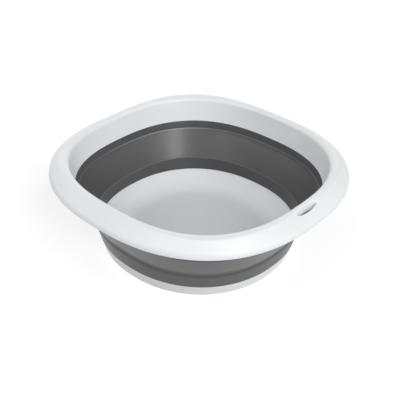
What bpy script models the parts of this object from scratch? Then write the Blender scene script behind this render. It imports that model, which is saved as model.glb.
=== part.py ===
"""Collapsible wash basin.

A stiff rim and a stiff base pan are joined by a soft wall. The wall has three parts, and its middle one, the
folding panel, turns inside out at two living hinges when the rim is pushed down over the pan.

Lengths are in metres and +Z is up. The origin is the centre of the foot, on the surface that the basin stands
on. Every section is drawn in the XZ plane, through the middle of a side, and swept round Z. The swept rings are
then squared off: a circle of radius a becomes the curve |x|^n + |y|^n = a^n, where a is the half-width at the
middle of a side and n, the squareness, is 2 for a circle and grows towards the rim. The hanging slot is in the
middle of the -Y side.
"""
import math
from itertools import pairwise

import bpy
import numpy as np

# Walls and clearance
STIFF_WALL = 0.0022         # wall of the rim and of the pan
SOFT_WALL = 0.0026          # wall of the soft bands and of the panel, measured level
TONGUE_WALL = 0.0012        # stiff tongue that the soft wall is moulded round
SEAM_GAP = 0.0003           # kept between faces that touch

# Base pan
FOOT_HALF = 0.1106          # centre to the outside of the foot
FOOT_WIDTH = 0.0036         # flat ring that the basin stands on
FOOT_ROUND = 0.0007
SKIRT_HEIGHT = 0.0141       # foot to the soft wall's lower edge, outside
SKIRT_FLARE = 0.0037        # lean of the skirt over its height
PAN_TONGUE = 0.0072         # tongue above the skirt, up to where the soft wall starts inside
FLOOR_TOP = 0.0034          # upper face of the floor above the foot
BOWL_RUN = 0.0240           # level run of the bowl's side, from the lip in to the floor
BOWL_ROUND = 0.0300

# Soft wall
LOWER_BAND_RISE = 0.0162    # pan's lip up to the lower hinge
LOWER_BAND_FLARE = 0.0028
PANEL_RISE = 0.0329         # lower hinge up to the upper hinge
PANEL_FLARE = 0.0163
UPPER_BAND_RISE = 0.0092    # upper hinge up to the rim's lip
UPPER_BAND_FLARE = 0.0015
CUFF_RISE = 0.0125          # the upper band's cuff outside the rim's tongue, above the rim's lip
LOWER_GROOVE = 0.0014       # height of the groove outside at the lower hinge
UPPER_GROOVE = 0.0009       # height of the groove outside at the upper hinge
HINGE_WEB = 0.0010          # what is left of the wall at a groove
HINGE_LEDGE = 0.0008        # step of the lower band into the basin, just below its hinge
LEDGE_RISE = 0.0016
BEAD_SWELL = 0.0004         # swelling of the panel's upper lip inside and of its lower lip outside
BEAD_RISE = 0.0024
BEAD_ROUND = 0.0009
COVE_DEPTH = 0.0011         # hollow outside the lower band, just below its hinge
COVE_RISE = 0.0050
SOFT_ROUND = 0.0006         # round on the soft parts' free edges

# Rim
RIM_WIDTH = 0.0275          # rim's lip out to its outer edge
SKIRT_LEAN = 0.0042         # lean of the rim's inner skirt, up to the crest's corner
CREST_RISE = 0.0350         # rim's lip up to the corner of the skirt and the top slope
CREST_ROUND = 0.0056
EDGE_RISE = 0.0185          # rim's lip up to the corner of the top slope and the outer edge
EDGE_ROUND = 0.0099
EDGE_DROP = 0.0052          # that corner down to the edge's free end
EDGE_END_ROUND = 0.0008

# Hanging slot, an oval hole with a short wall round it under the rim
SLOT_LENGTH = 0.0335
SLOT_WIDTH = 0.0060
SLOT_INSET = 0.0142         # outer edge of the rim in to the slot's centre line
COLLAR_WALL = 0.0018
COLLAR_DEPTH = 0.0082       # rim's upper face at the slot's centre down to the wall's free end
CUT_OVERRUN = 0.0040

# Reach of the plan's corners beyond a circle at each level, as a share of the half-width
FOOT_CORNER_SHARE = 0.021
SHOULDER_CORNER_SHARE = 0.026
PAN_LIP_CORNER_SHARE = 0.033
LOWER_HINGE_CORNER_SHARE = 0.055
UPPER_HINGE_CORNER_SHARE = 0.062
RIM_LIP_CORNER_SHARE = 0.068
SKIRT_TOP_CORNER_SHARE = 0.083
CREST_CORNER_SHARE = 0.110
EDGE_CORNER_SHARE = 0.061

# Fineness of the mesh
RING_STEPS = 72
ARC_STEPS = 5
FINE_ROUND = 0.0015         # rounds below this have FINE_STEPS chords
FINE_STEPS = 2
SLOT_SEGMENTS = 28
HEIGHT_PASSES = 12
SMOOTH_ANGLE = math.radians(35)

# Levels, from the foot up
SHOULDER_Z = SKIRT_HEIGHT
PAN_LIP_Z = SHOULDER_Z + PAN_TONGUE
LOWER_HINGE_Z = PAN_LIP_Z + LOWER_BAND_RISE
UPPER_HINGE_Z = LOWER_HINGE_Z + PANEL_RISE
RIM_LIP_Z = UPPER_HINGE_Z + UPPER_BAND_RISE
CUFF_TOP_Z = RIM_LIP_Z + CUFF_RISE
CREST_Z = RIM_LIP_Z + CREST_RISE
EDGE_Z = RIM_LIP_Z + EDGE_RISE

# Half-widths of the wall's inner face at the middle of a side, and of the rim
SHOULDER_HALF = FOOT_HALF + SKIRT_FLARE
BAND_SLOPE = LOWER_BAND_FLARE / LOWER_BAND_RISE
PAN_LIP_HALF = SHOULDER_HALF + BAND_SLOPE * PAN_TONGUE - SOFT_WALL
LOWER_HINGE_HALF = PAN_LIP_HALF + LOWER_BAND_FLARE
UPPER_HINGE_HALF = LOWER_HINGE_HALF + PANEL_FLARE
RIM_LIP_HALF = UPPER_HINGE_HALF + UPPER_BAND_FLARE
CREST_HALF = RIM_LIP_HALF + SKIRT_LEAN
CREST_TOP_HALF = CREST_HALF + CREST_ROUND
RIM_HALF = RIM_LIP_HALF + RIM_WIDTH


def inner_half(z):
    """Half-width of the soft wall's inner face at height z, carried on in straight lines past both lips."""
    if z < LOWER_HINGE_Z:
        return LOWER_HINGE_HALF - BAND_SLOPE * (LOWER_HINGE_Z - z)
    if z < UPPER_HINGE_Z:
        return LOWER_HINGE_HALF + PANEL_FLARE * (z - LOWER_HINGE_Z) / PANEL_RISE
    if z < RIM_LIP_Z:
        return UPPER_HINGE_HALF + UPPER_BAND_FLARE * (z - UPPER_HINGE_Z) / UPPER_BAND_RISE
    return RIM_LIP_HALF + SKIRT_LEAN * (z - RIM_LIP_Z) / CREST_RISE


def outer_half(z):
    """Half-width of the soft wall's outer face at height z."""
    return inner_half(z) + SOFT_WALL


def squareness(a, z):
    """Exponent n of the plan curve through the point (a, z) of a section."""
    levels = [0, SHOULDER_Z, PAN_LIP_Z, LOWER_HINGE_Z, UPPER_HINGE_Z, RIM_LIP_Z, CREST_Z]
    shares = [FOOT_CORNER_SHARE, SHOULDER_CORNER_SHARE, PAN_LIP_CORNER_SHARE, LOWER_HINGE_CORNER_SHARE,
              UPPER_HINGE_CORNER_SHARE, RIM_LIP_CORNER_SHARE, SKIRT_TOP_CORNER_SHARE]
    share_by_level = np.interp(z, levels, shares)
    share = np.interp(a, [CREST_HALF, CREST_TOP_HALF, RIM_HALF],
                      [share_by_level, CREST_CORNER_SHARE, EDGE_CORNER_SHARE])
    # The curve's corner is 2 ** (1/2 - 1/n) times as far from the centre as the middle of its side.
    return 1 / (1 / 2 - math.log2(1 + share))


def square_off(mesh):
    """Turns each ring of a swept mesh from a circle into its rounded square."""
    for vertex in mesh.vertices:
        x, y, z = vertex.co
        a = math.hypot(x, y)
        if a > SEAM_GAP:
            n = squareness(a, z)
            stretch = (abs(x / a) ** n + abs(y / a) ** n) ** (-1 / n)
            vertex.co = (x * stretch, y * stretch, z)


def rounded(corners):
    """Outline through corners (a, z, radius), each radius an arc of short chords.

    Neighbouring arcs that would overlap share the run between them.
    """
    points = [np.array(corner[:2]) for corner in corners]
    count = len(points)
    lengths, half_angles, reaches = [], [], []
    for index, (point, (_, _, radius)) in enumerate(zip(points, corners)):
        before = points[index - 1] - point
        after = points[(index + 1) % count] - point
        cosine = before @ after / (np.linalg.norm(before) * np.linalg.norm(after))
        half_angle = math.acos(np.clip(cosine, -1, 1)) / 2
        lengths.append(np.linalg.norm(after))
        half_angles.append(half_angle)
        reaches.append(radius / math.tan(half_angle) if radius else 0)
    outline = []
    for index, point in enumerate(points):
        if reaches[index] == 0:
            outline.append(tuple(point))
            continue
        nearer, further = index - 1, (index + 1) % count
        room = min(lengths[nearer] / (reaches[nearer] + reaches[index]),
                   lengths[index] / (reaches[index] + reaches[further]), 1)
        reach = reaches[index] * room
        radius = reach * math.tan(half_angles[index])
        before = (points[nearer] - point) / lengths[nearer]
        after = (points[further] - point) / lengths[index]
        bisector = (before + after) / np.linalg.norm(before + after)
        centre = point + bisector * math.hypot(reach, radius)
        start = point + before * reach - centre
        end = point + after * reach - centre
        start_angle = math.atan2(start[1], start[0])
        turn = (math.atan2(end[1], end[0]) - start_angle + math.pi) % math.tau - math.pi
        steps = FINE_STEPS if radius < FINE_ROUND else ARC_STEPS
        for step in range(steps + 1):
            angle = start_angle + turn * step / steps
            outline.append((centre[0] + radius * math.cos(angle), centre[1] + radius * math.sin(angle)))
    return outline


def offset(corners, distance):
    """Open run of corners moved sideways, to the right of its direction, its outer rounds made smaller."""
    points = [np.array(corner[:2]) for corner in corners]
    runs = [(end - start) / np.linalg.norm(end - start) for start, end in pairwise(points)]
    normals = [np.array((run[1], -run[0])) for run in runs]
    moved = [(*(points[0] + normals[0] * distance), 0)]
    for point, (_, _, radius), (first, second) in zip(points[1:], corners[1:-1], pairwise(normals)):
        mitre = (first + second) / (1 + first @ second)
        moved.append((*(point + mitre * distance), max(radius - distance, 0)))
    moved.append((*(points[-1] + normals[-1] * distance), 0))
    return moved


def new_material(name, colour, roughness):
    material = bpy.data.materials.new(name)
    material.use_nodes = True
    shader = material.node_tree.nodes["Principled BSDF"]
    shader.inputs["Base Color"].default_value = (*colour, 1)
    shader.inputs["Roughness"].default_value = roughness
    shader.inputs["Metallic"].default_value = 0
    material.diffuse_color = (*colour, 1)
    return material


def moulding(name, outline, material, collection, closed=True):
    """Sweeps an outline round Z, squares it off and returns it as an object. It runs down its outer side."""
    profile = bpy.data.meshes.new(name + "_profile")
    edges = list(pairwise(range(len(outline))))
    if closed:
        edges.append((edges[-1][1], edges[0][0]))
    profile.from_pydata([(a, 0, z) for a, z in outline], edges, [])
    swept = bpy.data.objects.new(name + "_profile", profile)
    collection.objects.link(swept)
    screw = swept.modifiers.new("Sweep", "SCREW")
    screw.axis = "Z"
    screw.angle = math.tau
    screw.steps = RING_STEPS
    screw.render_steps = RING_STEPS
    screw.use_merge_vertices = True
    screw.merge_threshold = 0.00001
    bpy.context.view_layer.update()
    evaluated = swept.evaluated_get(bpy.context.evaluated_depsgraph_get())
    mesh = bpy.data.meshes.new_from_object(evaluated)
    bpy.data.objects.remove(swept)
    bpy.data.meshes.remove(profile)
    mesh.name = name
    square_off(mesh)
    mesh.materials.clear()
    mesh.materials.append(material)
    mesh.shade_smooth()
    mesh.set_sharp_from_angle(angle=SMOOTH_ANGLE)
    piece = bpy.data.objects.new(name, mesh)
    collection.objects.link(piece)
    return piece


def base_pan(material, collection):
    """Dished floor with a foot skirt below its side and a thin tongue above, inside the soft wall."""
    bowl = [
        (0, FLOOR_TOP, 0),
        (PAN_LIP_HALF - BOWL_RUN, FLOOR_TOP, BOWL_ROUND),
        (PAN_LIP_HALF, PAN_LIP_Z, 0),
    ]
    underside = offset(bowl, STIFF_WALL)
    tongue_root = outer_half(SHOULDER_Z) - SOFT_WALL + TONGUE_WALL
    skirt_lean = SKIRT_FLARE / SKIRT_HEIGHT
    inside_foot = FOOT_HALF - FOOT_WIDTH
    # The skirt's inner face leans as its outer face does, up to the bowl's underside.
    (low_a, low_z, _), (high_a, high_z, _) = underside[1:]
    bowl_slope = (high_z - low_z) / (high_a - low_a)
    meet_a = (inside_foot + skirt_lean * (low_z - bowl_slope * low_a)) / (1 - skirt_lean * bowl_slope)
    meet_z = low_z + bowl_slope * (meet_a - low_a)
    skirt = [
        (PAN_LIP_HALF + TONGUE_WALL, PAN_LIP_Z, 0),
        (tongue_root, SHOULDER_Z, 0),
        (SHOULDER_HALF, SHOULDER_Z, 0),
        (FOOT_HALF, 0, FOOT_ROUND),
        (inside_foot, 0, FOOT_ROUND),
        (meet_a, meet_z, STIFF_WALL),
    ]
    outline = rounded(bowl + skirt + underside[1:2] + underside[:1])
    return moulding("base_pan", outline, material, collection, closed=False)


def wall_lower_band(material, collection):
    """Soft band from a cuff outside the pan's tongue up to the lower hinge, coved outside and ledged inside."""
    top = LOWER_HINGE_Z - LOWER_GROOVE / 2 - SEAM_GAP
    ledge_root = top - LEDGE_RISE
    cove_root = top - COVE_RISE
    cuff_bottom = SHOULDER_Z + SEAM_GAP
    seat = PAN_LIP_Z + SEAM_GAP
    tongue_face = SOFT_WALL - TONGUE_WALL - SEAM_GAP
    return moulding("wall_lower_band", rounded([
        (inner_half(top) - HINGE_LEDGE, top, SOFT_ROUND),
        (outer_half(top) - COVE_DEPTH, top, SOFT_ROUND),
        (outer_half(cove_root) - COVE_DEPTH / 2, (top + cove_root) / 2, 0),
        (outer_half(cove_root), cove_root, 0),
        (outer_half(cuff_bottom), cuff_bottom, 0),
        (outer_half(cuff_bottom) - tongue_face, cuff_bottom, 0),
        (outer_half(seat) - tongue_face, seat, 0),
        (inner_half(seat), seat, 0),
        (inner_half(ledge_root), ledge_root, 0),
    ]), material, collection)


def folding_panel(material, collection):
    """Soft panel between the hinges, with a thin web at each, on its inner side, and a groove outside the web."""
    lower_web = LOWER_HINGE_Z - LOWER_GROOVE / 2
    upper_web = UPPER_HINGE_Z + UPPER_GROOVE / 2
    body_low = LOWER_HINGE_Z + LOWER_GROOVE / 2
    body_high = UPPER_HINGE_Z - UPPER_GROOVE / 2
    low_bead = body_low + BEAD_RISE
    high_bead = body_high - BEAD_RISE
    return moulding("folding_panel", rounded([
        (inner_half(upper_web), upper_web, 0),
        (inner_half(upper_web) + HINGE_WEB, upper_web, 0),
        (inner_half(body_high) + HINGE_WEB, body_high, 0),
        (outer_half(body_high), body_high, 0),
        (outer_half(low_bead), low_bead, 0),
        (outer_half(body_low) + BEAD_SWELL, body_low, BEAD_ROUND),
        (inner_half(body_low) + HINGE_WEB, body_low, 0),
        (inner_half(lower_web) + HINGE_WEB, lower_web, 0),
        (inner_half(lower_web), lower_web, 0),
        (inner_half(high_bead), high_bead, 0),
        (inner_half(body_high) - BEAD_SWELL, body_high, BEAD_ROUND),
    ]), material, collection)


def wall_upper_band(material, collection):
    """Soft band from the upper hinge to the rim's lip, with a cuff outside the rim's tongue."""
    bottom = UPPER_HINGE_Z + UPPER_GROOVE / 2 + SEAM_GAP
    seat = RIM_LIP_Z - SEAM_GAP
    tongue_face = TONGUE_WALL + SEAM_GAP
    return moulding("wall_upper_band", rounded([
        (inner_half(seat), seat, 0),
        (inner_half(seat) + tongue_face, seat, 0),
        (inner_half(CUFF_TOP_Z) + tongue_face, CUFF_TOP_Z, 0),
        (outer_half(CUFF_TOP_Z), CUFF_TOP_Z, SOFT_ROUND / 2),
        (outer_half(bottom), bottom, 0),
        (inner_half(bottom), bottom, SOFT_ROUND / 2),
    ]), material, collection)


def rim_top():
    """The rim's upper face in section, from its lip over the crest to the free end of its outer edge."""
    return [
        (RIM_LIP_HALF, RIM_LIP_Z, 0),
        (CREST_HALF, CREST_Z, CREST_ROUND),
        (RIM_HALF, EDGE_Z, EDGE_ROUND),
        (RIM_HALF, EDGE_Z - EDGE_DROP, 0),
    ]


def slope_height(x, y):
    """Height of the rim's upper face, outward of its crest, at (x, y)."""
    face = np.array(rounded(rim_top()))
    face = face[np.argmax(face[:, 1]):]
    a = math.hypot(x, y)
    for _ in range(HEIGHT_PASSES):
        z = np.interp(a, face[:, 0], face[:, 1])
        n = squareness(a, z)
        a = (abs(x) ** n + abs(y) ** n) ** (1 / n)
    return z


def slot_loop(grow, level):
    """Oval loop about the slot, grown sideways, each point at the height that level(x, y) gives."""
    loop = []
    for step in range(SLOT_SEGMENTS):
        angle = math.tau * step / SLOT_SEGMENTS
        x = (SLOT_LENGTH / 2 + grow) * math.cos(angle)
        y = SLOT_INSET - RIM_HALF + (SLOT_WIDTH / 2 + grow) * math.sin(angle)
        loop.append((x, y, level(x, y)))
    return loop


def slot_tool(name, loops, collection, ring=False):
    """Hidden solid through oval loops for a boolean: a prism with two end faces, or a closed ring."""
    following = [(step, (step + 1) % SLOT_SEGMENTS) for step in range(SLOT_SEGMENTS)]
    starts = [SLOT_SEGMENTS * index for index in range(len(loops))]
    faces = []
    for low, high in list(pairwise(starts)) + ([(starts[-1], starts[0])] if ring else []):
        faces += [(low + first, low + second, high + second, high + first) for first, second in following]
    if not ring:
        faces.append(tuple(reversed(range(SLOT_SEGMENTS))))
        faces.append(tuple(starts[-1] + step for step in range(SLOT_SEGMENTS)))
    mesh = bpy.data.meshes.new(name)
    mesh.from_pydata([point for loop in loops for point in loop], [], faces)
    tool = bpy.data.objects.new(name, mesh)
    tool.hide_render = True
    tool.display_type = "WIRE"
    collection.objects.link(tool)
    return tool


def slot_collar(collection):
    """Wall round the slot, from the middle of the rim's own wall down to a level end."""
    end = slope_height(0, SLOT_INSET - RIM_HALF) - COLLAR_DEPTH

    def inside_rim(x, y):
        return slope_height(x, y) - STIFF_WALL / 2

    outside, inside = COLLAR_WALL, -SLOT_WIDTH / 4
    return slot_tool("slot_collar", [
        slot_loop(outside, lambda x, y: end),
        slot_loop(outside, inside_rim),
        slot_loop(inside, inside_rim),
        slot_loop(inside, lambda x, y: end),
    ], collection, ring=True)


def slot_cutter(collection):
    """Prism that cuts the slot through the rim and its collar."""
    bottom = EDGE_Z - EDGE_DROP
    top = CREST_Z + CUT_OVERRUN
    return slot_tool("slot_cutter", [
        slot_loop(0, lambda x, y: bottom),
        slot_loop(0, lambda x, y: top),
    ], collection)


def rim(material, collection, tools):
    """Stiff ring: an inner skirt, a round crest and a broad slope that turns down at its outer edge."""
    top = rim_top()
    _, under_crest, under_edge, _ = offset(top, STIFF_WALL)
    edge_end = EDGE_Z - EDGE_DROP
    shoulder = CUFF_TOP_Z + SEAM_GAP
    outline = rounded(top[:3] + [
        (RIM_HALF, edge_end, EDGE_END_ROUND),
        (RIM_HALF - STIFF_WALL, edge_end, EDGE_END_ROUND),
        under_edge,
        under_crest,
        (inner_half(shoulder) + STIFF_WALL, shoulder, 0),
        (inner_half(shoulder) + TONGUE_WALL, shoulder, 0),
        (RIM_LIP_HALF + TONGUE_WALL, RIM_LIP_Z, 0),
    ])
    ring = moulding("rim", outline, material, collection)
    for operation, tool in [("UNION", slot_collar(tools)), ("DIFFERENCE", slot_cutter(tools))]:
        step = ring.modifiers.new(tool.name, "BOOLEAN")
        step.operation = operation
        step.solver = "EXACT"
        step.object = tool
    return ring


def main():
    for old in list(bpy.data.objects):
        bpy.data.objects.remove(old)
    basin = bpy.data.collections.new("collapsible_wash_basin")
    tools = bpy.data.collections.new("boolean_tools")
    bpy.context.scene.collection.children.link(basin)
    bpy.context.scene.collection.children.link(tools)
    white = new_material("white_polypropylene", (0.80, 0.81, 0.82), 0.38)
    grey = new_material("grey_soft_elastomer", (0.095, 0.093, 0.091), 0.45)
    base_pan(white, basin)
    wall_lower_band(grey, basin)
    folding_panel(grey, basin)
    wall_upper_band(grey, basin)
    rim(white, basin, tools)


main()
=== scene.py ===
"""Looks of the collapsible wash basin: fine meshes of its five pieces, their plastics, the light, the camera.

Lengths are in metres, in the frame's own axes: +Z is up, the origin is the centre of the foot, and the
hanging slot is in the middle of the -Y side. Each piece is a section in the XZ plane that is swept round Z
and then squared off, as the CAD is, with finer rings, rounder edges, more rows and hairline seams.
"""
import math
from itertools import pairwise

import bmesh
import bpy
import numpy as np
from mathutils import Matrix, Vector


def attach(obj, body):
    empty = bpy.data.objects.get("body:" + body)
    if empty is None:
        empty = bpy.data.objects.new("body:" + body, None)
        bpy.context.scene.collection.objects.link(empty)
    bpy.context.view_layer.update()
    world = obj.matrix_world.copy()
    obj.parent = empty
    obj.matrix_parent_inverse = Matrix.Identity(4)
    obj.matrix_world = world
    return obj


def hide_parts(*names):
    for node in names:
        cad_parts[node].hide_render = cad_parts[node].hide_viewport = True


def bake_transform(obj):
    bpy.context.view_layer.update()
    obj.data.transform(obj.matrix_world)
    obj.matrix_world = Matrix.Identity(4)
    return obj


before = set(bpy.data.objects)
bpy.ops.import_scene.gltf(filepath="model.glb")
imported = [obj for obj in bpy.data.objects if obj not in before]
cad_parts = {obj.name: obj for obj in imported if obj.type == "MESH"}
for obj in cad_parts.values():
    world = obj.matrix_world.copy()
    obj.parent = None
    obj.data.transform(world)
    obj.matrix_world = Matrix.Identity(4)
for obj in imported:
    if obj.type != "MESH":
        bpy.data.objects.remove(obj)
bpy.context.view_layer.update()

# Walls and clearance
STIFF_WALL = 0.0022
SOFT_WALL = 0.0026
TONGUE_WALL = 0.0012
HAIRLINE = 0.00005

# Base pan
FOOT_HALF = 0.1106
FOOT_WIDTH = 0.0036
FOOT_ROUND = 0.0007
SKIRT_HEIGHT = 0.0141
SKIRT_FLARE = 0.0037
SHOULDER_ROUND = 0.0005
PAN_TONGUE = 0.0072
FLOOR_TOP = 0.0034
BOWL_RUN = 0.0240
BOWL_ROUND = 0.0300

# Soft wall
LOWER_BAND_RISE = 0.0162
LOWER_BAND_FLARE = 0.0028
PANEL_RISE = 0.0329
PANEL_FLARE = 0.0163
UPPER_BAND_RISE = 0.0092
UPPER_BAND_FLARE = 0.0015
CUFF_RISE = 0.0125
LOWER_GROOVE = 0.0014
UPPER_GROOVE = 0.0009
HINGE_WEB = 0.0010
HINGE_LEDGE = 0.0011
LEDGE_RISE = 0.0024
LEDGE_ROUND = 0.0005
BEAD_SWELL = 0.0005
BEAD_RISE = 0.0024
BEAD_ROUND = 0.0009
COVE_DEPTH = 0.0011
COVE_RISE = 0.0050
COVE_ROUND = 0.0060
SOFT_ROUND = 0.0006

# Rim: a hair narrower and lower than the CAD's, so that its finer rounds stay inside the CAD's box
RIM_WIDTH = 0.02749
SKIRT_LEAN = 0.0042
CREST_RISE = 0.0348
CREST_ROUND = 0.0056
EDGE_RISE = 0.0185
EDGE_ROUND = 0.0099
EDGE_DROP = 0.0052
EDGE_END_ROUND = 0.0008

# Hanging slot
SLOT_LENGTH = 0.0335
SLOT_WIDTH = 0.0060
SLOT_INSET = 0.0142
SLOT_LIP_ROUND = 0.0016
COLLAR_WALL = 0.0018
COLLAR_DEPTH = 0.0082
COLLAR_TRIM = 0.0015
CUT_OVERRUN = 0.0040

# Reach of the plan's corners beyond a circle, as a share of the half-width
FOOT_CORNER_SHARE = 0.021
SHOULDER_CORNER_SHARE = 0.026
PAN_LIP_CORNER_SHARE = 0.033
LOWER_HINGE_CORNER_SHARE = 0.055
UPPER_HINGE_CORNER_SHARE = 0.062
RIM_LIP_CORNER_SHARE = 0.068
SKIRT_TOP_CORNER_SHARE = 0.083
CREST_CORNER_SHARE = 0.110
EDGE_CORNER_SHARE = 0.061

# Fineness
RING_STEPS = 360
ARC_CHORD_TURN = math.radians(9)
LONGEST_RUN = 0.0030
SLOT_SEGMENTS = 120
LIP_STEPS = 7
HEIGHT_PASSES = 12
WELD_DISTANCE = 0.00001
NEVER_ZERO = 1e-12
SMOOTH_ANGLE = math.radians(40)

# Painted highlight: the soft wall's ridges are paled in patches, as the lamps' glint on them, most of all
# towards the corner between +X and +Y
RIDGE_REACH = 0.0009
PAINTED_GLINT_COLOUR = (0.23, 0.23, 0.23)
GLINT_HEADING = math.radians(45)
GLINT_FOCUS = 2
PATCH_SCALE = 11
PATCH_DETAIL = 1
PATCH_EDGE = 0.4
PATCH_HEART = 0.6
FAINTEST_RIDGE = 0.3

# Plastics: linear colour, roughness and strength of the moulded grain
WHITE_PLASTIC = ((0.83, 0.845, 0.865), 0.38, 0.15)
GREY_PLASTIC = ((0.076, 0.0755, 0.077), 0.34, 0.35)
CLOUD_SCALE = 14
CLOUD_DETAIL = 4
PALEST_TONE = 1.03
DEEPEST_TONE = 0.96
GLOSS_SPREAD = 0.05
GRAIN_SCALE = 1800
GRAIN_DETAIL = 2
GRAIN_DEPTH = 0.0001

# Studio
WHITE = (1, 1, 1, 1)
FLOOR_REACH = 2.0
FLOOR_TONE = 0.60
FLOOR_ROUGHNESS = 0.9
FLOOR_LIFT = 0.60
SKY_LIGHT = 0.15
LAMP_DISTANCE = 4.0
LAMP_TARGET = (0, 0, 0.06)
WIDE_LAMP = 3.0
NARROW_LAMP = 1.1
# Name, degrees to the right of the camera, degrees above the floor, diameter, watts
LAMPS = [
    ("front", 0, 35, WIDE_LAMP, 7),
    ("key", 34, 20, NARROW_LAMP, 38),
    ("high_right", 45, 45, WIDE_LAMP, 61),
    ("low_right", 70, 15, WIDE_LAMP, 12),
    ("side_right", 90, 40, WIDE_LAMP, 8),
    ("high_left", -45, 45, WIDE_LAMP, 41),
    ("side_left", -90, 30, WIDE_LAMP, 18),
    ("back_left", -135, 20, WIDE_LAMP, 27),
    ("back", 180, 20, WIDE_LAMP, 26),
]

# Camera: the photograph's viewpoint
PHOTO_SIDE_PX = 400
FOCAL_PX = 752.0
SENSOR_MM = 36
CAMERA_DISTANCE = 0.8879
CAMERA_ELEVATION = math.radians(33.79)
CAMERA_HEADING = math.radians(49.46)
CAMERA_ROLL = math.radians(2.06)
TARGET_ACROSS = 0.0014
TARGET_HEIGHT = 0.0492

# Levels, from the foot up
SHOULDER_Z = SKIRT_HEIGHT
PAN_LIP_Z = SHOULDER_Z + PAN_TONGUE
LOWER_HINGE_Z = PAN_LIP_Z + LOWER_BAND_RISE
UPPER_HINGE_Z = LOWER_HINGE_Z + PANEL_RISE
RIM_LIP_Z = UPPER_HINGE_Z + UPPER_BAND_RISE
CUFF_TOP_Z = RIM_LIP_Z + CUFF_RISE
CREST_Z = RIM_LIP_Z + CREST_RISE
EDGE_Z = RIM_LIP_Z + EDGE_RISE

# Half-widths at the middle of a side
SHOULDER_HALF = FOOT_HALF + SKIRT_FLARE
BAND_SLOPE = LOWER_BAND_FLARE / LOWER_BAND_RISE
PAN_LIP_HALF = SHOULDER_HALF + BAND_SLOPE * PAN_TONGUE - SOFT_WALL
LOWER_HINGE_HALF = PAN_LIP_HALF + LOWER_BAND_FLARE
UPPER_HINGE_HALF = LOWER_HINGE_HALF + PANEL_FLARE
RIM_LIP_HALF = UPPER_HINGE_HALF + UPPER_BAND_FLARE
CREST_HALF = RIM_LIP_HALF + SKIRT_LEAN
CREST_TOP_HALF = CREST_HALF + CREST_ROUND
RIM_HALF = RIM_LIP_HALF + RIM_WIDTH


def inner_half(z):
    """Half-width of the soft wall's inner face at height z."""
    if z < LOWER_HINGE_Z:
        return LOWER_HINGE_HALF - BAND_SLOPE * (LOWER_HINGE_Z - z)
    if z < UPPER_HINGE_Z:
        return LOWER_HINGE_HALF + PANEL_FLARE * (z - LOWER_HINGE_Z) / PANEL_RISE
    if z < RIM_LIP_Z:
        return UPPER_HINGE_HALF + UPPER_BAND_FLARE * (z - UPPER_HINGE_Z) / UPPER_BAND_RISE
    return RIM_LIP_HALF + SKIRT_LEAN * (z - RIM_LIP_Z) / CREST_RISE


def outer_half(z):
    """Half-width of the soft wall's outer face at height z."""
    return inner_half(z) + SOFT_WALL


def squareness(a, z):
    """Exponent n of the plan curves through the points (a, z) of a section."""
    levels = [0, SHOULDER_Z, PAN_LIP_Z, LOWER_HINGE_Z, UPPER_HINGE_Z, RIM_LIP_Z, CREST_Z]
    shares = [FOOT_CORNER_SHARE, SHOULDER_CORNER_SHARE, PAN_LIP_CORNER_SHARE, LOWER_HINGE_CORNER_SHARE,
              UPPER_HINGE_CORNER_SHARE, RIM_LIP_CORNER_SHARE, SKIRT_TOP_CORNER_SHARE]
    share_by_level = np.interp(z, levels, shares)
    to_crest = np.clip((a - CREST_HALF) / (CREST_TOP_HALF - CREST_HALF), 0, 1)
    to_edge = np.clip((a - CREST_TOP_HALF) / (RIM_HALF - CREST_TOP_HALF), 0, 1)
    share = (share_by_level + (CREST_CORNER_SHARE - share_by_level) * to_crest
             + (EDGE_CORNER_SHARE - CREST_CORNER_SHARE) * to_edge)
    # The curve's corner is 2 ** (1/2 - 1/n) times as far from the centre as the middle of its side.
    return 1 / (1 / 2 - np.log2(1 + share))


def square_off(points):
    """Turns the rings of swept points, an array of (x, y, z), from circles into rounded squares."""
    a = np.hypot(points[:, 0], points[:, 1])
    a = np.maximum(a, HAIRLINE)
    n = squareness(a, points[:, 2])
    stretch = (np.abs(points[:, 0] / a) ** n + np.abs(points[:, 1] / a) ** n + NEVER_ZERO) ** (-1 / n)
    stretch = np.where(a > HAIRLINE, stretch, 1)
    return np.column_stack((points[:, 0] * stretch, points[:, 1] * stretch, points[:, 2]))


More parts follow.
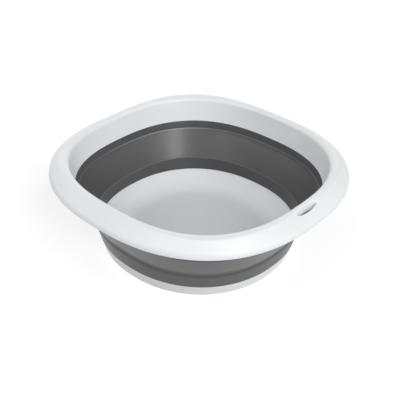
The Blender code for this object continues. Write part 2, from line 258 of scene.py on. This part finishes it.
def rounded(corners, closed=True):
    """Outline through corners (a, z, radius): arcs of short chords, and straight runs in short lengths."""
    points = [np.array(corner[:2]) for corner in corners]
    count = len(points)
    lengths, half_angles, reaches = [], [], []
    for index, (point, (_, _, radius)) in enumerate(zip(points, corners)):
        before = points[index - 1] - point
        after = points[(index + 1) % count] - point
        cosine = before @ after / (np.linalg.norm(before) * np.linalg.norm(after))
        half_angle = math.acos(np.clip(cosine, -1, 1)) / 2
        lengths.append(np.linalg.norm(after))
        half_angles.append(half_angle)
        reaches.append(radius / math.tan(half_angle) if radius else 0)
    bends = []
    for index, point in enumerate(points):
        if reaches[index] == 0:
            bends.append([tuple(point)])
            continue
        nearer, further = index - 1, (index + 1) % count
        room = min(lengths[nearer] / (reaches[nearer] + reaches[index]),
                   lengths[index] / (reaches[index] + reaches[further]), 1)
        before = (points[nearer] - point) / lengths[nearer]
        after = (points[further] - point) / lengths[index]
        reach = reaches[index] * room
        radius = reach * math.tan(half_angles[index])
        bisector = (before + after) / np.linalg.norm(before + after)
        centre = point + bisector * math.hypot(reach, radius)
        start = point + before * reach - centre
        end = point + after * reach - centre
        start_angle = math.atan2(start[1], start[0])
        turn = (math.atan2(end[1], end[0]) - start_angle + math.pi) % math.tau - math.pi
        steps = max(2, math.ceil(abs(turn) / ARC_CHORD_TURN))
        angles = start_angle + turn * np.arange(steps + 1) / steps
        bends.append([(centre[0] + radius * math.cos(t), centre[1] + radius * math.sin(t)) for t in angles])
    outline = []
    followers = bends[1:] + (bends[:1] if closed else [None])
    for bend, follower in zip(bends, followers):
        outline += bend
        if follower:
            start, end = np.array(bend[-1]), np.array(follower[0])
            pieces = math.ceil(np.linalg.norm(end - start) / LONGEST_RUN)
            outline += [tuple(start + (end - start) * step / pieces) for step in range(1, pieces)]
    return outline


def offset(corners, distance):
    """Open run of corners moved sideways, to the right of its direction, its outer rounds made smaller."""
    points = [np.array(corner[:2]) for corner in corners]
    runs = [(end - start) / np.linalg.norm(end - start) for start, end in pairwise(points)]
    normals = [np.array((run[1], -run[0])) for run in runs]
    moved = [(*(points[0] + normals[0] * distance), 0)]
    for point, (_, _, radius), first, second in zip(points[1:], corners[1:-1], normals, normals[1:]):
        mitre = (first + second) / (1 + first @ second)
        moved.append((*(point + mitre * distance), max(radius - distance, 0)))
    moved.append((*(points[-1] + normals[-1] * distance), 0))
    return moved


def new_object(name, points, faces):
    """Object of a new mesh, in the scene's collection."""
    mesh = bpy.data.meshes.new(name)
    mesh.from_pydata(points, [], faces)
    mesh.update()
    new = bpy.data.objects.new(name, mesh)
    bpy.context.scene.collection.objects.link(new)
    return new


def weld(mesh):
    """Makes one vertex of the vertices that lie on each other."""
    work = bmesh.new()
    work.from_mesh(mesh)
    bmesh.ops.remove_doubles(work, verts=work.verts, dist=WELD_DISTANCE)
    work.to_mesh(mesh)
    work.free()


def moulding(name, outline, closed=True, ridge=None):
    """Object of an outline swept round Z and squared off. An open outline starts and ends on the axis.

    A ridge, a point (a, z) of the section, marks the rows near it in the attribute "ridge" for a painted
    highlight, and marks them most towards the corner where the painted glint is strongest.
    """
    section = np.array(outline)
    rows = len(section)
    angles = math.tau * np.arange(RING_STEPS) / RING_STEPS
    x = np.outer(np.cos(angles), section[:, 0])
    y = np.outer(np.sin(angles), section[:, 0])
    z = np.outer(np.ones(RING_STEPS), section[:, 1])
    points = square_off(np.column_stack((x.ravel(), y.ravel(), z.ravel())))
    faces = []
    spans = list(pairwise(range(rows))) + ([(rows - 1, 0)] if closed else [])
    for step in range(RING_STEPS):
        here, there = step * rows, (step + 1) % RING_STEPS * rows
        faces += [(here + low, there + low, there + high, here + high) for low, high in spans]
    piece = new_object(name, points.tolist(), faces)
    if not closed:
        weld(piece.data)
    # Painted highlight: the rows near the ridge are marked, most at the heading where the lamps' glint falls.
    if ridge:
        nearness = np.clip(1 - np.linalg.norm(section - ridge, axis=1) / RIDGE_REACH, 0, 1)
        glint_fade = np.clip(np.cos(angles - GLINT_HEADING), 0, 1) ** GLINT_FOCUS
        mark = piece.data.attributes.new("ridge", "FLOAT", "POINT")
        mark.data.foreach_set("value", np.outer(glint_fade, nearness).ravel())
    return piece


def finish_mesh(piece, material):
    """Gives a piece its plastic and smooth faces between its sharp edges, and returns it."""
    piece.data.materials.clear()
    piece.data.materials.append(material)
    piece.data.shade_smooth()
    piece.data.set_sharp_from_angle(angle=SMOOTH_ANGLE)
    return piece


def base_pan(material):
    """Dished floor with a foot skirt below its side and a thin tongue above, inside the soft wall."""
    bowl = [
        (0, FLOOR_TOP, 0),
        (PAN_LIP_HALF - BOWL_RUN, FLOOR_TOP, BOWL_ROUND),
        (PAN_LIP_HALF, PAN_LIP_Z, 0),
    ]
    underside = offset(bowl, STIFF_WALL)
    tongue_root = outer_half(SHOULDER_Z) - SOFT_WALL + TONGUE_WALL
    skirt_lean = SKIRT_FLARE / SKIRT_HEIGHT
    inside_foot = FOOT_HALF - FOOT_WIDTH
    (low_a, low_z, _), (high_a, high_z, _) = underside[1:]
    bowl_slope = (high_z - low_z) / (high_a - low_a)
    meet_a = (inside_foot + skirt_lean * (low_z - bowl_slope * low_a)) / (1 - skirt_lean * bowl_slope)
    meet_z = low_z + bowl_slope * (meet_a - low_a)
    skirt = [
        (PAN_LIP_HALF + TONGUE_WALL, PAN_LIP_Z, 0),
        (tongue_root, SHOULDER_Z, 0),
        (SHOULDER_HALF, SHOULDER_Z, SHOULDER_ROUND),
        (FOOT_HALF, 0, FOOT_ROUND),
        (inside_foot, 0, FOOT_ROUND),
        (meet_a, meet_z, STIFF_WALL),
    ]
    outline = rounded(bowl + skirt + underside[1:2] + underside[:1])
    piece = moulding("base_pan_moulding", outline, closed=False)
    return finish_mesh(piece, material)


def wall_lower_band(material):
    """Soft band round the pan's tongue, thinned by a cove under the lower hinge and ledged inside."""
    top = LOWER_HINGE_Z - LOWER_GROOVE / 2 - HAIRLINE
    ledge_root = top - LEDGE_RISE
    cove_bottom = top - COVE_RISE
    cuff_bottom = SHOULDER_Z + HAIRLINE
    seat = PAN_LIP_Z + HAIRLINE
    tongue_face = SOFT_WALL - TONGUE_WALL - HAIRLINE
    # The ledge's rounded edge carries a painted highlight along its ridge.
    piece = moulding("soft_wall_lower_band", rounded([
        (inner_half(top) - HINGE_LEDGE, top, LEDGE_ROUND),
        (outer_half(top) - COVE_DEPTH, top, SOFT_ROUND),
        (outer_half(cove_bottom) - COVE_DEPTH / 2, top - COVE_RISE / 2, COVE_ROUND),
        (outer_half(cove_bottom), cove_bottom, COVE_ROUND),
        (outer_half(cuff_bottom), cuff_bottom, SOFT_ROUND / 2),
        (outer_half(cuff_bottom) - tongue_face, cuff_bottom, 0),
        (outer_half(seat) - tongue_face, seat, 0),
        (inner_half(seat), seat, 0),
        (inner_half(ledge_root), ledge_root, LEDGE_RISE),
    ]), ridge=(inner_half(top) - HINGE_LEDGE, top))
    return finish_mesh(piece, material)


def folding_panel(material):
    """Soft panel that turns inside out, with a thin web at each hinge and a groove outside the web."""
    body_low = LOWER_HINGE_Z + LOWER_GROOVE / 2
    body_high = UPPER_HINGE_Z - UPPER_GROOVE / 2
    lower_web = LOWER_HINGE_Z - LOWER_GROOVE / 2
    upper_web = UPPER_HINGE_Z + UPPER_GROOVE / 2
    low_bead = body_low + BEAD_RISE
    high_bead = body_high - BEAD_RISE
    bead_top = upper_web - BEAD_SWELL
    # The inner bead's rounded top carries a painted highlight along its ridge.
    piece = moulding("soft_wall_folding_panel", rounded([
        (inner_half(upper_web), upper_web, 0),
        (inner_half(upper_web) + HINGE_WEB, upper_web, 0),
        (inner_half(body_high) + HINGE_WEB, body_high, 0),
        (outer_half(body_high), body_high, SOFT_ROUND),
        (outer_half(low_bead), low_bead, BEAD_RISE),
        (outer_half(body_low) + BEAD_SWELL, body_low, BEAD_ROUND),
        (inner_half(body_low) + HINGE_WEB, body_low, 0),
        (inner_half(lower_web) + HINGE_WEB, lower_web, 0),
        (inner_half(lower_web), lower_web, 0),
        (inner_half(high_bead), high_bead, BEAD_RISE),
        (inner_half(bead_top) - BEAD_SWELL, bead_top, LEDGE_ROUND),
    ]), ridge=(inner_half(bead_top) - BEAD_SWELL, bead_top))
    return finish_mesh(piece, material)


def wall_upper_band(material):
    """Soft band that is a cuff round the rim's skirt, above the upper hinge."""
    bottom = UPPER_HINGE_Z + UPPER_GROOVE / 2 + HAIRLINE
    seat = RIM_LIP_Z - HAIRLINE
    tongue_face = TONGUE_WALL + HAIRLINE
    piece = moulding("soft_wall_upper_band", rounded([
        (inner_half(seat), seat, SOFT_ROUND / 2),
        (inner_half(seat) + tongue_face, seat, 0),
        (inner_half(CUFF_TOP_Z) + tongue_face, CUFF_TOP_Z, 0),
        (outer_half(CUFF_TOP_Z), CUFF_TOP_Z, SOFT_ROUND),
        (outer_half(bottom), bottom, 0),
        (inner_half(bottom), bottom, SOFT_ROUND / 2),
    ]))
    return finish_mesh(piece, material)


def rim_top():
    """The rim's upper face in section, from its lip over the crest to its outer edge."""
    return [
        (RIM_LIP_HALF, RIM_LIP_Z, 0),
        (CREST_HALF, CREST_Z, CREST_ROUND),
        (RIM_HALF, EDGE_Z, EDGE_ROUND),
        (RIM_HALF, EDGE_Z - EDGE_DROP, 0),
    ]


def rim_height(x, y):
    """Height of the rim's upper face, outward of its crest, at (x, y)."""
    face = np.array(rounded(rim_top(), closed=False))
    face = face[np.argmax(face[:, 1]):]
    a = np.hypot(x, y)
    # The plan curve through (x, y) and the height there depend on each other, so they are found by turns.
    for _ in range(HEIGHT_PASSES):
        n = squareness(a, np.interp(a, face[:, 0], face[:, 1]))
        a = (np.abs(x) ** n + np.abs(y) ** n) ** (1 / n)
    return np.interp(a, face[:, 0], face[:, 1])


def slot_loop(grow, drop):
    """Oval loop about the slot, grown sideways, at a drop below the rim's upper face."""
    turns = math.tau * np.arange(SLOT_SEGMENTS) / SLOT_SEGMENTS
    x = (SLOT_LENGTH / 2 + grow) * np.cos(turns)
    y = SLOT_INSET - RIM_HALF + (SLOT_WIDTH / 2 + grow) * np.sin(turns)
    return np.column_stack((x, y, rim_height(x, y) - drop))


def lofted(name, loops, closed=False):
    """Object through loops of equally many points: a solid with two end faces, or a closed ring."""
    around = [(step, (step + 1) % SLOT_SEGMENTS) for step in range(SLOT_SEGMENTS)]
    faces = []
    for low, high in list(pairwise(range(len(loops)))) + ([(len(loops) - 1, 0)] if closed else []):
        here, above = low * SLOT_SEGMENTS, high * SLOT_SEGMENTS
        faces += [(here + first, here + second, above + second, above + first) for first, second in around]
    if not closed:
        last = (len(loops) - 1) * SLOT_SEGMENTS
        faces += [tuple(reversed(range(SLOT_SEGMENTS))), tuple(last + step for step in range(SLOT_SEGMENTS))]
    return new_object(name, np.concatenate(loops).tolist(), faces)


def slot_cutter():
    """Upright oval prism that flares where it leaves the rim's upper face, to round the slot's lip."""
    loops = [slot_loop(0, COLLAR_DEPTH + CUT_OVERRUN)]
    for angle in np.linspace(0, math.pi / 2, LIP_STEPS + 1)[:-1]:
        grow = SLOT_LIP_ROUND * (1 - math.cos(angle))
        drop = SLOT_LIP_ROUND * (1 - math.sin(angle))
        loops.append(slot_loop(grow, drop))
    loops.append(slot_loop(SLOT_LIP_ROUND, -CUT_OVERRUN))
    return lofted("slot_cutter", loops)


def slot_collar():
    """Short upright wall about the slot, under the rim's slope. The slot's cutter trims its inner face."""
    bottom = rim_height(0, SLOT_INSET - RIM_HALF) - COLLAR_DEPTH
    loops = []
    for grow in (COLLAR_WALL, -COLLAR_TRIM):
        top = slot_loop(grow, STIFF_WALL / 2)
        low = top.copy()
        low[:, 2] = bottom
        loops += [low, top] if grow > 0 else [top, low]
    return lofted("slot_collar", loops, closed=True)


def combine(piece, other, operation):
    """Joins an object to a piece or cuts it away, and deletes the object."""
    step = piece.modifiers.new("Combine", "BOOLEAN")
    step.operation = operation
    step.solver = "EXACT"
    step.object = other
    bpy.context.view_layer.update()
    evaluated = piece.evaluated_get(bpy.context.evaluated_depsgraph_get())
    mesh = bpy.data.meshes.new_from_object(evaluated)
    piece.modifiers.clear()
    piece.data = mesh
    bpy.data.objects.remove(other)


def rim(material):
    """Stiff ring: an inner skirt, a round crest and a broad slope that turns down at its outer edge."""
    edge_end = EDGE_Z - EDGE_DROP
    top = rim_top()
    _, under_crest, under_edge, _ = offset(top, STIFF_WALL)
    shoulder = CUFF_TOP_Z + HAIRLINE
    outline = rounded(top[:3] + [
        (RIM_HALF, edge_end, EDGE_END_ROUND),
        (RIM_HALF - STIFF_WALL, edge_end, EDGE_END_ROUND),
        under_edge,
        under_crest,
        (inner_half(shoulder) + STIFF_WALL, shoulder, 0),
        (inner_half(shoulder) + TONGUE_WALL, shoulder, 0),
        (RIM_LIP_HALF + TONGUE_WALL, RIM_LIP_Z, 0),
    ])
    piece = moulding("rim_moulding", outline)
    combine(piece, slot_collar(), "UNION")
    combine(piece, slot_cutter(), "DIFFERENCE")
    weld(piece.data)
    return finish_mesh(piece, material)


def noise(tree, scale, detail):
    """Noise over the piece's own axes; returns its socket."""
    place = tree.nodes.new("ShaderNodeTexCoord")
    texture = tree.nodes.new("ShaderNodeTexNoise")
    texture.inputs["Scale"].default_value = scale
    texture.inputs["Detail"].default_value = detail
    tree.links.new(place.outputs["Object"], texture.inputs["Vector"])
    return texture.outputs["Fac"]


def painted_glint_strength(tree):
    """Socket that is above 0 on a mesh's marked ridge, in patches: where the painted highlight lies."""
    mark = tree.nodes.new("ShaderNodeAttribute")
    mark.attribute_name = "ridge"
    patches = tree.nodes.new("ShaderNodeMapRange")
    patches.inputs["From Min"].default_value = PATCH_EDGE
    patches.inputs["From Max"].default_value = PATCH_HEART
    patches.inputs["To Min"].default_value = FAINTEST_RIDGE
    tree.links.new(noise(tree, PATCH_SCALE, PATCH_DETAIL), patches.inputs["Value"])
    strength = tree.nodes.new("ShaderNodeMath")
    strength.operation = "MULTIPLY"
    tree.links.new(mark.outputs["Fac"], strength.inputs[0])
    tree.links.new(patches.outputs["Result"], strength.inputs[1])
    return strength.outputs["Value"]


def plastic(name, colour, roughness, grain):
    """Moulded plastic: a faint cloud of tone and gloss over a fine moulded grain, with a painted highlight on
    marked ridges.
    """
    material = bpy.data.materials.new(name)
    material.use_nodes = True
    tree = material.node_tree
    shader = tree.nodes["Principled BSDF"]
    cloud = noise(tree, CLOUD_SCALE, CLOUD_DETAIL)

    tone = tree.nodes.new("ShaderNodeMix")
    tone.data_type = "RGBA"
    tone.inputs["A"].default_value = (*[channel * DEEPEST_TONE for channel in colour], 1)
    tone.inputs["B"].default_value = (*[channel * PALEST_TONE for channel in colour], 1)
    tree.links.new(cloud, tone.inputs["Factor"])
    # Painted highlight: the marked ridges are paled towards the glint colour.
    painted_glint = tree.nodes.new("ShaderNodeMix")
    painted_glint.data_type = "RGBA"
    painted_glint.inputs["B"].default_value = (*PAINTED_GLINT_COLOUR, 1)
    tree.links.new(painted_glint_strength(tree), painted_glint.inputs["Factor"])
    tree.links.new(tone.outputs["Result"], painted_glint.inputs["A"])
    tree.links.new(painted_glint.outputs["Result"], shader.inputs["Base Color"])

    gloss = tree.nodes.new("ShaderNodeMapRange")
    gloss.inputs["To Min"].default_value = roughness - GLOSS_SPREAD
    gloss.inputs["To Max"].default_value = roughness + GLOSS_SPREAD
    tree.links.new(cloud, gloss.inputs["Value"])
    tree.links.new(gloss.outputs["Result"], shader.inputs["Roughness"])

    bump = tree.nodes.new("ShaderNodeBump")
    bump.inputs["Strength"].default_value = grain
    bump.inputs["Distance"].default_value = GRAIN_DEPTH
    tree.links.new(noise(tree, GRAIN_SCALE, GRAIN_DETAIL), bump.inputs["Height"])
    tree.links.new(bump.outputs["Normal"], shader.inputs["Normal"])
    return material


def seen_directly(tree):
    """Socket that is 1 on camera, glossy and transmission rays, and 0 on the rays that light the scene."""
    path = tree.nodes.new("ShaderNodeLightPath")
    seen = path.outputs["Is Camera Ray"]
    for kind in ("Is Glossy Ray", "Is Transmission Ray"):
        either = tree.nodes.new("ShaderNodeMath")
        either.operation = "MAXIMUM"
        tree.links.new(seen, either.inputs[0])
        tree.links.new(path.outputs[kind], either.inputs[1])
        seen = either.outputs["Value"]
    return seen


def floor():
    """Pale floor that looks white and keeps the basin's shadow."""
    corners = [(-FLOOR_REACH, -FLOOR_REACH), (FLOOR_REACH, -FLOOR_REACH),
               (FLOOR_REACH, FLOOR_REACH), (-FLOOR_REACH, FLOOR_REACH)]
    sheet = new_object("floor", [(x, y, -HAIRLINE) for x, y in corners], [(0, 1, 2, 3)])
    material = bpy.data.materials.new("pale_floor")
    material.use_nodes = True
    tree = material.node_tree
    shader = tree.nodes["Principled BSDF"]
    shader.inputs["Base Color"].default_value = (FLOOR_TONE, FLOOR_TONE, FLOOR_TONE, 1)
    shader.inputs["Roughness"].default_value = FLOOR_ROUGHNESS
    shader.inputs["Specular IOR Level"].default_value = 0
    lift = tree.nodes.new("ShaderNodeMath")
    lift.operation = "MULTIPLY"
    lift.inputs[1].default_value = FLOOR_LIFT
    tree.links.new(seen_directly(tree), lift.inputs[0])
    glow = tree.nodes.new("ShaderNodeEmission")
    tree.links.new(lift.outputs["Value"], glow.inputs["Strength"])
    both = tree.nodes.new("ShaderNodeAddShader")
    tree.links.new(shader.outputs["BSDF"], both.inputs[0])
    tree.links.new(glow.outputs["Emission"], both.inputs[1])
    tree.links.new(both.outputs["Shader"], tree.nodes["Material Output"].inputs["Surface"])
    sheet.data.materials.append(material)


def sky():
    """Even white surroundings, of full white where they are seen directly."""
    world = bpy.data.worlds.new("studio")
    bpy.context.scene.world = world
    world.use_nodes = True
    tree = world.node_tree
    background = tree.nodes["Background"]
    background.inputs["Color"].default_value = WHITE
    background.inputs["Strength"].default_value = SKY_LIGHT
    white = tree.nodes.new("ShaderNodeBackground")
    white.inputs["Color"].default_value = WHITE
    white.inputs["Strength"].default_value = 1
    both = tree.nodes.new("ShaderNodeMixShader")
    tree.links.new(seen_directly(tree), both.inputs["Fac"])
    tree.links.new(background.outputs["Background"], both.inputs[1])
    tree.links.new(white.outputs["Background"], both.inputs[2])
    tree.links.new(both.outputs["Shader"], tree.nodes["World Output"].inputs["Surface"])


def level_heading():
    """Level unit vector from the camera towards the basin."""
    return Vector((math.sin(CAMERA_HEADING), math.cos(CAMERA_HEADING), 0))


def lamps():
    """Round softboxes about the basin, placed from the camera's own side."""
    for name, to_the_right, above, diameter, watts in LAMPS:
        light = bpy.data.lights.new(name, "AREA")
        light.shape = "DISK"
        light.size = diameter
        light.energy = watts
        lamp = bpy.data.objects.new(name, light)
        towards = Matrix.Rotation(math.radians(to_the_right), 3, "Z") @ -level_heading()
        place = towards * LAMP_DISTANCE * math.cos(math.radians(above))
        place.z = LAMP_DISTANCE * math.sin(math.radians(above))
        lamp.location = place
        lamp.rotation_euler = (Vector(LAMP_TARGET) - place).to_track_quat("-Z", "Y").to_euler()
        bpy.context.scene.collection.objects.link(lamp)


def camera():
    """Camera at the photograph's viewpoint, and the plain view transform."""
    lens = bpy.data.cameras.new("camera")
    lens.sensor_width = SENSOR_MM
    lens.lens = SENSOR_MM * FOCAL_PX / PHOTO_SIDE_PX
    view = bpy.data.objects.new("camera", lens)
    bpy.context.scene.collection.objects.link(view)
    level = level_heading()
    across = Vector((level.y, -level.x, 0))
    forward = level * math.cos(CAMERA_ELEVATION) - Vector((0, 0, math.sin(CAMERA_ELEVATION)))
    target = across * TARGET_ACROSS + Vector((0, 0, TARGET_HEIGHT))
    view.location = target - forward * CAMERA_DISTANCE
    aim = forward.to_track_quat("-Z", "Y").to_matrix() @ Matrix.Rotation(CAMERA_ROLL, 3, "Z")
    view.rotation_euler = aim.to_euler()
    bpy.context.scene.camera = view
    bpy.context.scene.view_settings.view_transform = "Standard"


def main():
    """Builds the dressed pieces, each riding on its body, and the studio."""
    white = plastic("white_polypropylene", *WHITE_PLASTIC)
    grey = plastic("grey_soft_elastomer", *GREY_PLASTIC)
    panel = folding_panel(grey)
    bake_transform(panel)
    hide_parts("folding_panel")
    for piece, node, body, slot in [
        (base_pan(white), "base_pan", "base_body", "stiff_white"),
        (wall_lower_band(grey), "wall_lower_band", "base_body", "soft_grey"),
        (wall_upper_band(grey), "wall_upper_band", "rim_body", "soft_grey"),
        (rim(white), "rim", "rim_body", "stiff_white"),
    ]:
        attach(piece, body)
        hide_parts(node)
    floor()
    sky()
    lamps()
    camera()


main()
